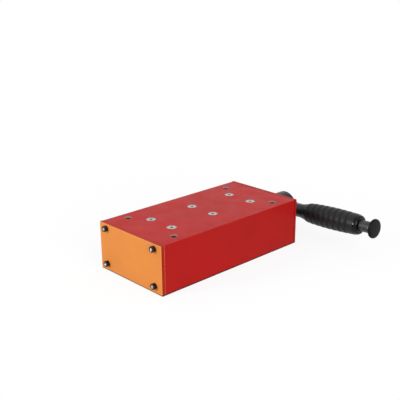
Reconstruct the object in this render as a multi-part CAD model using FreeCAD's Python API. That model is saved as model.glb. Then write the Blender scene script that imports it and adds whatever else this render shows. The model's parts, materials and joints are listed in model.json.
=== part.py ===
import FreeCAD, Part
import math
import os

# Switchable magnetic base: a steel yoke with pole shoes at its underside,
# a magnet rotor turned half a turn by a lever at the rear end, and a plunger
# through the lever that locks it in its two end positions.
# Millimetres, +Z up. The origin is the middle of the magnetic working face,
# the lever lies along +X at rest and the plain end plate faces -Y.

# Housing and end plates
body_width = 108.0
body_height = 58.0
housing_length = 212.0
side_wall = 18.0
top_wall = 15.0
pole_face_proud = 0.6
housing_edge_radius = 0.8
end_plate_thickness = 4.0
end_plate_edge_chamfer = 0.4

# Holes in the top for what is carried, and the screws of the end plates
vice_bolt_radius = 3.4
vice_bolt_depth = 10.0
vice_bolt_chamfer = 0.8
vice_bolt_spacing_x = 80.0
vice_bolt_spacing_y = 160.0
plate_screw_inset_side = 12.0
plate_screw_inset_bottom = 9.5
plate_screw_inset_top = 5.5
plate_screw_radius = 2.0
plate_screw_head_radius = 3.5
plate_screw_socket = 3.0
plate_screw_length = 16.0
screw_drop = 0.3

# Socket screws: what the standard ties to the thread's radius
cap_height_share = 2.0
cap_edge_share = 0.2
cap_socket_depth_share = 1.0
flat_head_radius_share = 1.9
flat_socket_share = 1.1
flat_socket_depth_share = 0.7
screw_lead_share = 0.2

# Magnet circuit
carrier_thickness = 12.0
pole_gap = 4.0
insulator_thickness = 1.5
fixed_magnet_thickness = 8.0
fixed_magnet_bottom = 8.0
magnet_blocks = 5
magnet_block_gap = 0.4
shoe_screw_radius = 3.0
shoe_screw_length = 30.0
shoe_screw_offset_x = 18.0
shoe_screw_pitch = 64.0

# Rotor and its bearings
rotor_radius = 12.5
rotor_air_gap = 0.3
bore_cover = 0.7
rotor_magnet_thickness = 8.0
rotor_spacer_height = 2.5
rotor_cap_thickness = 4.0
cap_screw_radius = 1.25
cap_screw_length = 9.0
cap_screw_inset = 2.5
cap_screw_angle = 37.0
journal_radius = 7.0
running_clearance = 0.04
bush_wall = 2.0
thrust_washer_thickness = 1.5
thrust_washer_width = 3.0
end_play = 0.1
seal_wall = 3.0

# Index flange with its sleeve, and the stop pin
flange_thickness = 6.0
flange_edge_chamfer = 1.0
flange_screw_inset = 4.5
flange_screw_hub_gap = 3.5
flange_screw_radius = 2.0
flange_screw_length = 16.0
flange_screw_angle = 30.0
sleeve_wall = 5.5
sleeve_bore_gap = 0.5
sleeve_beyond_lock_hole = 2.4
lock_hole_clearance = 0.1
stop_pin_radius = 2.0
stop_pin_reach = 6.0
stop_pin_seat = 5.0
stop_pin_chamfer = 0.4
stop_gap = 0.15

# Hub on the drive shaft
lever_offset = 34.0
lever_rest_angle = 2.7
lever_travel = 180.0
hub_gap = 0.5
hub_wall = 4.5
hub_web = 10.0
hub_nose_radius = 12.0
lever_boss_wall = 1.9
lever_boss_reach = 3.0
hub_rim_fillet = 1.5
hub_rim_short = 0.7
stop_step_gap = 0.5
shaft_end_short = 0.5
shaft_end_radius = 6.0
key_width = 4.0
key_height = 4.0
key_length = 8.0
hub_washer_radius = 9.0
hub_washer_thickness = 2.0
hub_screw_radius = 3.0
hub_screw_head_radius = 5.0
hub_screw_socket = 5.0
hub_screw_length = 16.0

# Lever tube and grip; stations are distances from the shaft's axis
tube_radius = 8.9
tube_nose = 12.0
tube_seat_gap = 0.7
grip_start = 40.0
rib_start = 53.0
rib_pitch = 8.4
rib_count = 7
grip_plain_band = 10.2
grip_start_radius = 9.7
belly_radius = 14.05
belly_station = 86.0
belly_drop = 1.1
belly_reach = 33.0
rib_groove_depth = 0.6
rib_groove_width = 1.2
rib_shoulder = 1.2
rib_crown = 0.12
flare_middle_share = 0.5
flare_hollow = 1.75
grip_end_radius = 1.0

# End collar, and the plunger that runs through the lever
collar_length = 5.6
collar_radius = 12.4
collar_start_radius = 11.3
collar_widest_station = 2.0
collar_nose_radius = 8.9
collar_spigot = 10.0
collar_spigot_wall = 0.9
neck_radius = 7.0
neck_inner_length = 24.0
neck_visible = 14.4
neck_bore_gap = 0.4
rod_radius = 2.5
lock_pin_radius = 3.0
lock_pin_length = 24.0
lock_pin_tip_gap = 0.6
lock_pin_socket = 6.0
lock_pin_socket_radius = 1.6
lock_pin_chamfer = 0.6
neck_chamfer = 0.5
plunger_stroke = 5.5
guide_clearance = 0.05
detent_ring_section = 1.2
detent_ring_inset = 3.0
knob_radius = 12.3
knob_thickness = 5.8
knob_rim_radius = 2.2
knob_dome = 0.5
knob_thread_radius = 3.0
knob_thread_length = 3.6

# Places worked out from the sizes above
housing_end = housing_length / 2
plate_face = housing_end + end_plate_thickness
cavity_half = body_width / 2 - side_wall
cavity_top = body_height - top_wall
shoe_end = housing_end - carrier_thickness
shoe_outer = cavity_half - fixed_magnet_thickness
shoe_top = cavity_top - insulator_thickness
bore_radius = rotor_radius + rotor_air_gap
axis_height = shoe_top - bore_cover - bore_radius
cap_face = shoe_end - thrust_washer_thickness - end_play
rotor_end = cap_face - rotor_cap_thickness
rotor_magnet_half_height = rotor_radius - rotor_spacer_height
bush_radius = journal_radius + running_clearance + bush_wall
flange_face = plate_face + flange_thickness
lever_y = plate_face + lever_offset
sleeve_bore = journal_radius + sleeve_bore_gap
sleeve_radius = sleeve_bore + sleeve_wall
lock_hole_radius = lock_pin_radius + lock_hole_clearance
sleeve_end = lever_y + lock_hole_radius + sleeve_beyond_lock_hole
hub_bore = sleeve_radius + hub_gap
hub_radius = hub_bore + hub_wall
flange_screw_circle = hub_radius + flange_screw_hub_gap
flange_radius = flange_screw_circle + flange_screw_inset
hub_start = flange_face + hub_gap
web_start = sleeve_end + hub_gap
web_end = web_start + hub_web
lever_boss_radius = tube_radius + lever_boss_wall
lever_boss_end = hub_radius + lever_boss_reach
hub_rim_end = lever_y + lever_boss_radius - hub_rim_short
tube_start = hub_bore + tube_seat_gap
grip_end = rib_start + rib_count * rib_pitch + grip_plain_band
collar_end = grip_end + collar_length
neck_inner = collar_end - neck_inner_length
knob_back = collar_end + neck_visible
lock_pin_tip = sleeve_radius + lock_pin_tip_gap


def vector(x, y, z):
    return FreeCAD.Vector(x, y, z)


def block(x0, x1, y0, y1, z0, z1):
    return Part.makeBox(x1 - x0, y1 - y0, z1 - z0, vector(x0, y0, z0))


def shaft_cylinder(radius, y0, y1):
    """A cylinder on the rotor's axis, from y0 to y1."""
    return Part.makeCylinder(radius, y1 - y0, vector(0, y0, axis_height), vector(0, 1, 0))


def shaft_ring(outer, inner, y0, y1):
    return shaft_cylinder(outer, y0, y1).cut(shaft_cylinder(inner, y0 - 1, y1 + 1))


def lever_cylinder(radius, x0, x1):
    """A cylinder on the lever's axis, which crosses the shaft's axis at a right angle."""
    return Part.makeCylinder(radius, x1 - x0, vector(x0, lever_y, axis_height), vector(1, 0, 0))


def lever_point(station, radius):
    return vector(station, lever_y, axis_height + radius)


def turned_on_lever(edges):
    """A solid of revolution about the lever's axis, from a closed loop of edges."""
    face = Part.Face(Part.Wire(edges))
    return face.revolve(vector(0, lever_y, axis_height), vector(1, 0, 0), 360)


def turned_lever_outline(outline):
    """Revolves straight runs through (station, radius) points."""
    corners = [lever_point(station, radius) for station, radius in outline]
    edges = []
    for start, end in zip(corners, corners[1:] + corners[:1]):
        edges.append(Part.LineSegment(start, end).toShape())
    return turned_on_lever(edges)


def to_rest_angle(shape):
    """Turns what sits on the hub to the angle at which the lever lies on its stop."""
    turned = shape.copy()
    turned.rotate(vector(0, 0, axis_height), vector(0, -1, 0), lever_rest_angle)
    return turned


def edges_at_y(shape, y):
    """The edges that lie wholly in one plane across the shaft."""
    middle = [(edge, edge.BoundBox) for edge in shape.Edges]
    return [edge for edge, box in middle if abs(box.YMin - y) < 0.01 and abs(box.YMax - y) < 0.01]


def pointed(shape, place, direction):
    """Moves a shape modelled along +Z at the origin to a place and direction."""
    moved = shape.copy()
    turn = FreeCAD.Rotation(vector(0, 0, 1), direction)
    moved.Placement = FreeCAD.Placement(place, turn)
    return moved


def hex_socket(across_flats, depth, top):
    corner = across_flats / math.sqrt(3)
    ring = []
    for step in range(7):
        angle = math.radians(60 * step)
        ring.append(vector(corner * math.cos(angle), corner * math.sin(angle), top - depth))
    return Part.Face(Part.makePolygon(ring)).extrude(vector(0, 0, depth + 1))


def cap_head_screw(radius, length, head_radius, across_flats):
    """A cylindrical head with a bevelled edge above z = 0, a shank with a lead below it."""
    height = cap_height_share * radius
    edge = cap_edge_share * radius
    lead = screw_lead_share * radius
    corners = [vector(0, 0, height), vector(head_radius - edge, 0, height)]
    corners += [vector(head_radius, 0, height - edge), vector(head_radius, 0, 0)]
    corners += [vector(radius, 0, 0), vector(radius, 0, lead - length)]
    corners += [vector(radius - lead, 0, -length), vector(0, 0, -length), vector(0, 0, height)]
    face = Part.Face(Part.makePolygon(corners))
    screw = face.revolve(vector(0, 0, 0), vector(0, 0, 1), 360)
    return screw.cut(hex_socket(across_flats, cap_socket_depth_share * radius, height))


def countersunk_screw(radius, length, drop):
    """Flat head whose top is sunk by drop below z = 0, with a hex socket."""
    head_radius = flat_head_radius_share * radius
    cone = head_radius - radius
    corners = [vector(0, 0, -drop), vector(head_radius, 0, -drop)]
    corners += [vector(radius, 0, -drop - cone), vector(radius, 0, -length)]
    corners += [vector(0, 0, -length), vector(0, 0, -drop)]
    face = Part.Face(Part.makePolygon(corners))
    screw = face.revolve(vector(0, 0, 0), vector(0, 0, 1), 360)
    return screw.cut(hex_socket(flat_socket_share * radius, flat_socket_depth_share * radius, -drop))


def countersunk_hole(radius, length, drop):
    """The space that a countersunk screw fills, open at the top."""
    head_radius = flat_head_radius_share * radius
    shank = Part.makeCylinder(radius, length, vector(0, 0, -length))
    cone = Part.makeCone(radius, head_radius, head_radius - radius, vector(0, 0, radius - head_radius - drop))
    mouth = Part.makeCylinder(head_radius, drop + 1, vector(0, 0, -drop))
    return shank.fuse([cone, mouth])


def plate_screw_places(y):
    half = body_width / 2 - plate_screw_inset_side
    low = plate_screw_inset_bottom
    high = body_height - plate_screw_inset_top
    return [vector(x, y, z) for x in (-half, half) for z in (low, high)]


def vice_bolt_places():
    half_x = vice_bolt_spacing_x / 2
    half_y = vice_bolt_spacing_y / 2
    return [vector(x, y, body_height) for x in (-half_x, half_x) for y in (-half_y, half_y)]


def shoe_screw_places():
    rows = (-shoe_screw_pitch, 0, shoe_screw_pitch)
    return [vector(x, y, body_height) for x in (-shoe_screw_offset_x, shoe_screw_offset_x) for y in rows]


def flange_screw_places():
    """Four places on one circle, each the same angle above or below the shaft's level."""
    angle = math.radians(flange_screw_angle)
    x = flange_screw_circle * math.cos(angle)
    z = flange_screw_circle * math.sin(angle)
    return [vector(i * x, flange_face, axis_height + j * z) for i in (-1, 1) for j in (-1, 1)]


def flange_screw_cores():
    """Threaded holes for the flange's screws, through the end plate into the carrier."""
    core = Part.makeCylinder(flange_screw_radius, flange_screw_length)
    return [pointed(core, place, vector(0, -1, 0)) for place in flange_screw_places()]


def cap_screw_places(y):
    """Two screws into each rotor segment, near its outer edge."""
    angle = math.radians(cap_screw_angle)
    x = (rotor_radius - cap_screw_inset) * math.cos(angle)
    z = (rotor_radius - cap_screw_inset) * math.sin(angle)
    return [vector(i * x, y, axis_height + j * z) for i in (-1, 1) for j in (-1, 1)]


def yoke_housing():
    """The painted channel: one block milled out from below and drilled."""
    half = body_width / 2
    body = block(-half, half, -housing_end, housing_end, pole_face_proud, body_height)
    outer_edges = [edge for edge in body.Edges if edge.BoundBox.ZMax > body_height - 0.01]
    body = body.makeFillet(housing_edge_radius, outer_edges)
    body = body.cut(block(-cavity_half, cavity_half, -housing_end - 1, housing_end + 1, -1, cavity_top))
    cuts = []
    for place in vice_bolt_places():
        cuts.append(pointed(Part.makeCylinder(vice_bolt_radius, vice_bolt_depth), place, vector(0, 0, -1)))
        mouth = Part.makeCone(vice_bolt_radius + vice_bolt_chamfer, vice_bolt_radius, vice_bolt_chamfer)
        cuts.append(pointed(mouth, place, vector(0, 0, -1)))
    shoe_hole = countersunk_hole(shoe_screw_radius, shoe_screw_length, screw_drop)
    for place in shoe_screw_places():
        cuts.append(pointed(shoe_hole, place, vector(0, 0, 1)))
    depth = plate_screw_length - end_plate_thickness
    for place in plate_screw_places(-housing_end):
        cuts.append(pointed(Part.makeCylinder(plate_screw_radius, depth), place, vector(0, 1, 0)))
    for place in plate_screw_places(housing_end):
        cuts.append(pointed(Part.makeCylinder(plate_screw_radius, depth), place, vector(0, -1, 0)))
    return body.cut(cuts)


def end_plate(inner, outer):
    """A flat painted plate with chamfered outer edges and four screw holes."""
    half = body_width / 2
    plate = block(-half, half, min(inner, outer), max(inner, outer), pole_face_proud, body_height)
    rim = edges_at_y(plate, outer)
    plate = plate.makeChamfer(end_plate_edge_chamfer, rim)
    holes = []
    for place in plate_screw_places(min(inner, outer) - 1):
        length = end_plate_thickness + 2
        holes.append(pointed(Part.makeCylinder(plate_screw_radius, length), place, vector(0, 1, 0)))
    return plate.cut(holes)


def rear_plate():
    """The same plate with a bore for the shaft seal and threads for the flange."""
    plate = end_plate(housing_end, plate_face)
    seal_bore = shaft_cylinder(journal_radius + seal_wall, housing_end - 1, plate_face + 1)
    return plate.cut([seal_bore] + flange_screw_cores())


def pole_shoe(side):
    """A ground steel block with a quarter of the rotor's bore on its inner side."""
    inner = side * pole_gap / 2
    outer = side * shoe_outer
    shoe = block(min(inner, outer), max(inner, outer), -shoe_end, shoe_end, 0, shoe_top)
    cuts = [shaft_cylinder(bore_radius, -shoe_end - 1, shoe_end + 1)]
    for place in shoe_screw_places():
        cuts.append(pointed(Part.makeCylinder(shoe_screw_radius, shoe_screw_length), place, vector(0, 0, -1)))
    return shoe.cut(cuts)


def pole_separator():
    """The brass strip between the pole faces; its top is part of the rotor's bore."""
    half = pole_gap / 2
    strip = block(-half, half, -shoe_end, shoe_end, 0, axis_height - rotor_radius)
    return strip.cut(shaft_cylinder(bore_radius, -shoe_end - 1, shoe_end + 1))


def top_insulator():
    sheet = block(-cavity_half, cavity_half, -shoe_end, shoe_end, shoe_top, cavity_top)
    cuts = []
    for place in shoe_screw_places():
        cuts.append(pointed(Part.makeCylinder(shoe_screw_radius, shoe_screw_length), place, vector(0, 0, -1)))
    return sheet.cut(cuts)


def fixed_magnets(side):
    """A row of magnet blocks between a pole shoe and the housing's side wall."""
    pitch = 2 * shoe_end / magnet_blocks
    inner = min(side * shoe_outer, side * cavity_half)
    outer = max(side * shoe_outer, side * cavity_half)
    row = []
    for step in range(magnet_blocks):
        start = -shoe_end + step * pitch + magnet_block_gap / 2
        end = start + pitch - magnet_block_gap
        row.append(block(inner, outer, start, end, fixed_magnet_bottom, shoe_top))
    return Part.makeCompound(row)


def filler_strips():
    """Brass strips that close the underside below the fixed magnets."""
    strips = []
    for side in (-1, 1):
        inner = min(side * shoe_outer, side * cavity_half)
        outer = max(side * shoe_outer, side * cavity_half)
        strips.append(block(inner, outer, -shoe_end, shoe_end, pole_face_proud, fixed_magnet_bottom))
    return Part.makeCompound(strips)


def bearing_carrier(side):
    """An aluminium block that fills one end of the channel and holds a bush."""
    inner = side * shoe_end
    outer = side * housing_end
    y0 = min(inner, outer)
    y1 = max(inner, outer)
    carrier = block(-cavity_half, cavity_half, y0, y1, pole_face_proud, cavity_top)
    cuts = [shaft_cylinder(bush_radius, y0 - 1, y1 + 1)]
    if side > 0:
        cuts += flange_screw_cores()
    return carrier.cut(cuts)


def bush(side):
    inner = side * shoe_end
    outer = side * housing_end
    return shaft_ring(bush_radius, journal_radius + running_clearance, min(inner, outer), max(inner, outer))


def thrust_washers():
    bore = journal_radius + sleeve_bore_gap
    rim = bore + thrust_washer_width
    front = shaft_ring(rim, bore, -shoe_end, -shoe_end + thrust_washer_thickness)
    rear = shaft_ring(rim, bore, shoe_end - thrust_washer_thickness, shoe_end)
    return Part.makeCompound([front, rear])


def shaft_seal():
    return shaft_ring(journal_radius + seal_wall, journal_radius + running_clearance, housing_end, plate_face)


def radial_lock_holes():
    """Two opposite cross holes, one for each end position of the lever."""
    bore = lever_cylinder(lock_hole_radius, -sleeve_radius - 1, sleeve_radius + 1)
    return to_rest_angle(bore)


def stop_pin_place(y):
    """The stop pin stands below the shaft, on the middle of the hub's wall."""
    middle = (hub_bore + hub_radius) / 2
    return vector(0, y, axis_height - middle)


def index_flange():
    """Turned flange and sleeve in one piece, with two lock holes."""
    flange = shaft_cylinder(flange_radius, plate_face, flange_face)
    rim = edges_at_y(flange, flange_face)
    flange = flange.makeChamfer(flange_edge_chamfer, rim)
    body = flange.fuse(shaft_cylinder(sleeve_radius, plate_face, sleeve_end))
    cuts = [shaft_cylinder(sleeve_bore, plate_face - 1, sleeve_end + 1), radial_lock_holes()]
    screw_hole = countersunk_hole(flange_screw_radius, flange_screw_length, screw_drop)
    for place in flange_screw_places():
        cuts.append(pointed(screw_hole, place, vector(0, 1, 0)))
    pin_hole = Part.makeCylinder(stop_pin_radius, stop_pin_seat)
    cuts.append(pointed(pin_hole, stop_pin_place(flange_face), vector(0, -1, 0)))
    return body.cut(cuts)


def stop_pin():
    pin = Part.makeCylinder(stop_pin_radius, stop_pin_seat + stop_pin_reach)
    tip = [edge for edge in pin.Edges if edge.BoundBox.ZMin > stop_pin_seat + stop_pin_reach - 0.01]
    pin = pin.makeChamfer(stop_pin_chamfer, tip)
    return pointed(pin, stop_pin_place(flange_face - stop_pin_seat), vector(0, 1, 0))


def screw_group(screw, places, direction):
    return Part.makeCompound([pointed(screw, place, direction) for place in places])


def rotor_segments():
    """Two half-round steel bars on each side of the rotor's magnets."""
    bar = shaft_cylinder(rotor_radius, -rotor_end, rotor_end)
    half = rotor_magnet_thickness / 2
    low = axis_height - rotor_radius - 1
    high = axis_height + rotor_radius + 1
    bars = []
    for side in (-1, 1):
        x0 = min(side * half, side * (rotor_radius + 1))
        x1 = max(side * half, side * (rotor_radius + 1))
        bars.append(bar.common(block(x0, x1, -rotor_end, rotor_end, low, high)))
    holes = cap_screw_cores()
    return Part.makeCompound([bar.cut(holes) for bar in bars])


def cap_screw_cores():
    cores = []
    for side in (-1, 1):
        for place in cap_screw_places(side * cap_face):
            hole = Part.makeCylinder(cap_screw_radius, cap_screw_length)
            cores.append(pointed(hole, place, vector(0, -side, 0)))
    return cores


def rotor_magnets():
    pitch = 2 * rotor_end / magnet_blocks
    half = rotor_magnet_thickness / 2
    low = axis_height - rotor_magnet_half_height
    high = axis_height + rotor_magnet_half_height
    row = []
    for step in range(magnet_blocks):
        start = -rotor_end + step * pitch + magnet_block_gap / 2
        end = start + pitch - magnet_block_gap
        row.append(block(-half, half, start, end, low, high))
    return Part.makeCompound(row)


def rotor_spacers():
    """Strips that fill the rotor's round above and below its magnets."""
    bar = shaft_cylinder(rotor_radius, -rotor_end, rotor_end)
    half = rotor_magnet_thickness / 2
    strips = []
    for side in (-1, 1):
        near = axis_height + side * rotor_magnet_half_height
        far = axis_height + side * (rotor_radius + 1)
        strips.append(bar.common(block(-half, half, -rotor_end, rotor_end, min(near, far), max(near, far))))
    return Part.makeCompound(strips)


def rotor_cap(side):
    """A round cap with its countersunk holes, without a journal."""
    inner = side * rotor_end
    outer = side * cap_face
    cap = shaft_cylinder(rotor_radius, min(inner, outer), max(inner, outer))
    hole = countersunk_hole(cap_screw_radius, cap_screw_length, 0)
    return cap.cut([pointed(hole, place, vector(0, side, 0)) for place in cap_screw_places(outer)])


def front_rotor_cap():
    return rotor_cap(-1).fuse(shaft_cylinder(journal_radius, -housing_end, -cap_face))


def drive_shaft():
    """Rear cap, journal and stepped shaft in one turned piece, with a key seat."""
    shaft = rotor_cap(1).fuse(shaft_cylinder(journal_radius, cap_face, web_start))
    shaft = shaft.fuse(shaft_cylinder(shaft_end_radius, web_start, web_end - shaft_end_short))
    thread = shaft_cylinder(hub_screw_radius, web_end - hub_screw_length, web_end)
    return shaft.cut([to_rest_angle(key_shape()), thread])


def key_shape():
    """Half of the key's height stands in the shaft, half in the hub."""
    half = key_width / 2
    low = axis_height + shaft_end_radius - key_height / 2
    middle = (web_start + web_end) / 2
    start = middle - key_length / 2
    return block(-half, half, start, start + key_length, low, low + key_height)


def cap_screws():
    screw = countersunk_screw(cap_screw_radius, cap_screw_length, 0)
    front = [pointed(screw, place, vector(0, -1, 0)) for place in cap_screw_places(-cap_face)]
    rear = [pointed(screw, place, vector(0, 1, 0)) for place in cap_screw_places(cap_face)]
    return Part.makeCompound(front + rear)


def stop_step():
    """The part of the hub's rim that is cut back so that the stop pin can pass."""
    depth = stop_pin_reach + stop_step_gap
    ring = shaft_ring(hub_radius + 1, hub_bore - 1, hub_start - 1, flange_face + depth)
    middle = (hub_bore + hub_radius) / 2
    spread = math.degrees((stop_pin_radius + stop_gap) / middle)
    start = 270 - lever_rest_angle - lever_travel - spread
    sweep = lever_travel + 2 * spread
    reach = 2 * hub_radius
    corners = [vector(0, 0, 0)]
    steps = 8
    for step in range(steps + 1):
        angle = math.radians(start + sweep * step / steps)
        corners.append(vector(reach * math.cos(angle), 0, reach * math.sin(angle)))
    corners.append(corners[0])
    sector = Part.Face(Part.makePolygon(corners)).extrude(vector(0, ring.BoundBox.YLength, 0))
    sector.translate(vector(0, hub_start - 1, axis_height))
    return ring.common(sector)


def lever_hub():
    """Turned cup over the index sleeve, keyed to the shaft, with the lever's boss."""
    cup = shaft_cylinder(hub_radius, hub_start, hub_rim_end)
    rim = edges_at_y(cup, hub_rim_end)
    cup = cup.makeFillet(hub_rim_fillet, rim)
    nose = shaft_cylinder(hub_nose_radius, hub_rim_end - 1, web_end)
    boss = lever_cylinder(lever_boss_radius, hub_bore + 1, lever_boss_end)
    body = cup.fuse([nose, boss])
    cuts = [shaft_cylinder(hub_bore, hub_start - 1, web_start)]
    cuts.append(shaft_cylinder(shaft_end_radius, web_start - 1, web_end + 1))
    cuts.append(lever_cylinder(tube_radius, tube_start, lever_boss_end + 1))
    cuts.append(lever_cylinder(lock_pin_radius + guide_clearance, 0, tube_start + 1))
    cuts.append(key_shape())
    cuts.append(stop_step())
    return body.cut(cuts)


def hub_washer():
    return shaft_ring(hub_washer_radius, hub_screw_radius, web_end, web_end + hub_washer_thickness)


def hub_screw():
    face = web_end + hub_washer_thickness
    screw = cap_head_screw(hub_screw_radius, hub_screw_length, hub_screw_head_radius, hub_screw_socket)
    return pointed(screw, vector(0, face, axis_height), vector(0, 1, 0))


def lever_tube():
    """Blackened steel bar, bored from the outer end for the plunger."""
    tube = lever_cylinder(tube_radius, tube_start, grip_end)
    spigot_bore = neck_radius + guide_clearance + collar_spigot_wall
    cuts = [lever_cylinder(lock_pin_radius + guide_clearance, tube_start - 1, grip_end)]
    cuts.append(lever_cylinder(lock_pin_radius + neck_bore_gap, tube_start + tube_nose, grip_end))
    cuts.append(lever_cylinder(neck_radius + neck_bore_gap, neck_inner - plunger_stroke - 1, grip_end + 1))
    cuts.append(lever_cylinder(spigot_bore, grip_end - collar_spigot, grip_end + 1))
    return tube.cut(cuts)


def belly(station):
    """The grip's outer radius before its grooves: a shallow parabola along its length."""
    return belly_radius - belly_drop * ((station - belly_station) / belly_reach) ** 2


def grip():
    """Moulded sleeve: flared start, rounded ribs with narrow grooves, plain end band."""
    bore = tube_radius
    end = grip_end
    stations = [rib_start + step * rib_pitch for step in range(rib_count + 1)]
    first = lever_point(stations[0] - rib_groove_width / 2, belly(stations[0]) - rib_groove_depth)
    flare_start = lever_point(grip_start, grip_start_radius)
    bend = grip_start + flare_middle_share * (rib_start - grip_start)
    flare_middle = lever_point(bend, belly(rib_start) - flare_hollow)
    edges = [Part.LineSegment(lever_point(grip_start, bore), flare_start).toShape()]
    edges.append(Part.Arc(flare_start, flare_middle, first).toShape())
    here = first
    ends = stations[1:] + [end]
    for start, stop in zip(stations, ends):
        last = stop == end
        floor_end = lever_point(start + rib_groove_width / 2, belly(start) - rib_groove_depth)
        rise = lever_point(start + rib_groove_width / 2 + rib_shoulder, belly(start + rib_shoulder))
        edges.append(Part.LineSegment(here, floor_end).toShape())
        edges.append(Part.LineSegment(floor_end, rise).toShape())
        middle = lever_point((start + stop) / 2, belly((start + stop) / 2) + rib_crown)
        if last:
            fall = lever_point(end - grip_end_radius, belly(end))
            here = lever_point(end, belly(end) - grip_end_radius)
        else:
            fall = lever_point(stop - rib_groove_width / 2 - rib_shoulder, belly(stop - rib_shoulder))
            here = lever_point(stop - rib_groove_width / 2, belly(stop) - rib_groove_depth)
        edges.append(Part.Arc(rise, middle, fall).toShape())
        edges.append(Part.LineSegment(fall, here).toShape())
    edges.append(Part.LineSegment(here, lever_point(end, bore)).toShape())
    edges.append(Part.LineSegment(lever_point(end, bore), lever_point(grip_start, bore)).toShape())
    return turned_on_lever(edges)


def grip_collar():
    """Bush that closes the grip's end: a rounded bead outside, a thin spigot in the tube."""
    bore = neck_radius + guide_clearance
    spigot = bore + collar_spigot_wall
    bead_start = lever_point(grip_end, collar_start_radius)
    bead_widest = lever_point(grip_end + collar_widest_station, collar_radius)
    bead_end = lever_point(collar_end, collar_nose_radius)
    outline = [(collar_end, bore), (grip_end - collar_spigot, bore), (grip_end - collar_spigot, spigot)]
    outline += [(grip_end, spigot)]
    corners = [bead_end] + [lever_point(station, radius) for station, radius in outline] + [bead_start]
    edges = [Part.LineSegment(a, b).toShape() for a, b in zip(corners, corners[1:])]
    edges.append(Part.Arc(bead_start, bead_widest, bead_end).toShape())
    return turned_on_lever(edges)


def lock_pin():
    tip = lock_pin_tip
    end = tip + lock_pin_length
    radius = lock_pin_radius
    socket = lock_pin_socket_radius
    outline = [(tip, 0), (tip, radius - lock_pin_chamfer), (tip + lock_pin_chamfer, radius)]
    outline += [(end, radius)]
    outline += [(end, socket), (end - lock_pin_socket, socket), (end - lock_pin_socket, 0)]
    return turned_lever_outline(outline)


def detent_ring_station():
    return neck_inner + detent_ring_inset


def detent_groove_radius():
    return neck_radius + neck_bore_gap - running_clearance - detent_ring_section


def plunger_rod():
    """Stepped rod: stub in the lock pin, slim rod, thick neck with a ring groove."""
    pin_end = lock_pin_tip + lock_pin_length
    ring = detent_ring_station()
    half = detent_ring_section / 2
    groove = detent_groove_radius()
    outline = [(pin_end - lock_pin_socket, 0), (pin_end - lock_pin_socket, lock_pin_socket_radius)]
    outline += [(pin_end, lock_pin_socket_radius), (pin_end, rod_radius)]
    outline += [(neck_inner, rod_radius), (neck_inner, neck_radius - neck_chamfer)]
    outline += [(neck_inner + neck_chamfer, neck_radius)]
    outline += [(ring - half, neck_radius), (ring - half, groove)]
    outline += [(ring + half, groove), (ring + half, neck_radius)]
    outline += [(knob_back, neck_radius), (knob_back, knob_thread_radius)]
    outline += [(knob_back + knob_thread_length, knob_thread_radius), (knob_back + knob_thread_length, 0)]
    return turned_lever_outline(outline)


def detent_ring():
    section = detent_ring_section / 2
    middle = detent_groove_radius() + section
    centre = lever_point(detent_ring_station(), 0)
    return Part.makeTorus(middle, section, centre, vector(1, 0, 0))


def plunger_knob():
    """Round button with a rounded rim and a slightly domed face."""
    back = knob_back
    front = knob_back + knob_thickness
    rim = knob_rim_radius
    slope = knob_radius - rim
    soft = rim * (1 - math.sqrt(0.5))
    corner_back = lever_point(back, slope)
    shoulder_back = lever_point(back + rim, knob_radius)
    shoulder_front = lever_point(front - rim, knob_radius)
    corner_front = lever_point(front, slope)
    crown = lever_point(front + knob_dome, 0)
    dome_radius = (slope ** 2 + knob_dome ** 2) / (2 * knob_dome)
    half_angle = math.asin(slope / dome_radius) / 2
    crown_drop = dome_radius * (1 - math.cos(half_angle))
    crown_side = lever_point(front + knob_dome - crown_drop, dome_radius * math.sin(half_angle))
    thread_end = back + knob_thread_length
    edges = [Part.LineSegment(lever_point(back, knob_thread_radius), corner_back).toShape()]
    edges.append(Part.Arc(corner_back, lever_point(back + soft, knob_radius - soft), shoulder_back).toShape())
    edges.append(Part.LineSegment(shoulder_back, shoulder_front).toShape())
    rim_front = lever_point(front - soft, knob_radius - soft)
    edges.append(Part.Arc(shoulder_front, rim_front, corner_front).toShape())
    edges.append(Part.Arc(corner_front, crown_side, crown).toShape())
    inside = [crown, lever_point(thread_end, 0), lever_point(thread_end, knob_thread_radius)]
    inside.append(lever_point(back, knob_thread_radius))
    edges += [Part.LineSegment(a, b).toShape() for a, b in zip(inside, inside[1:])]
    return turned_on_lever(edges)


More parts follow.
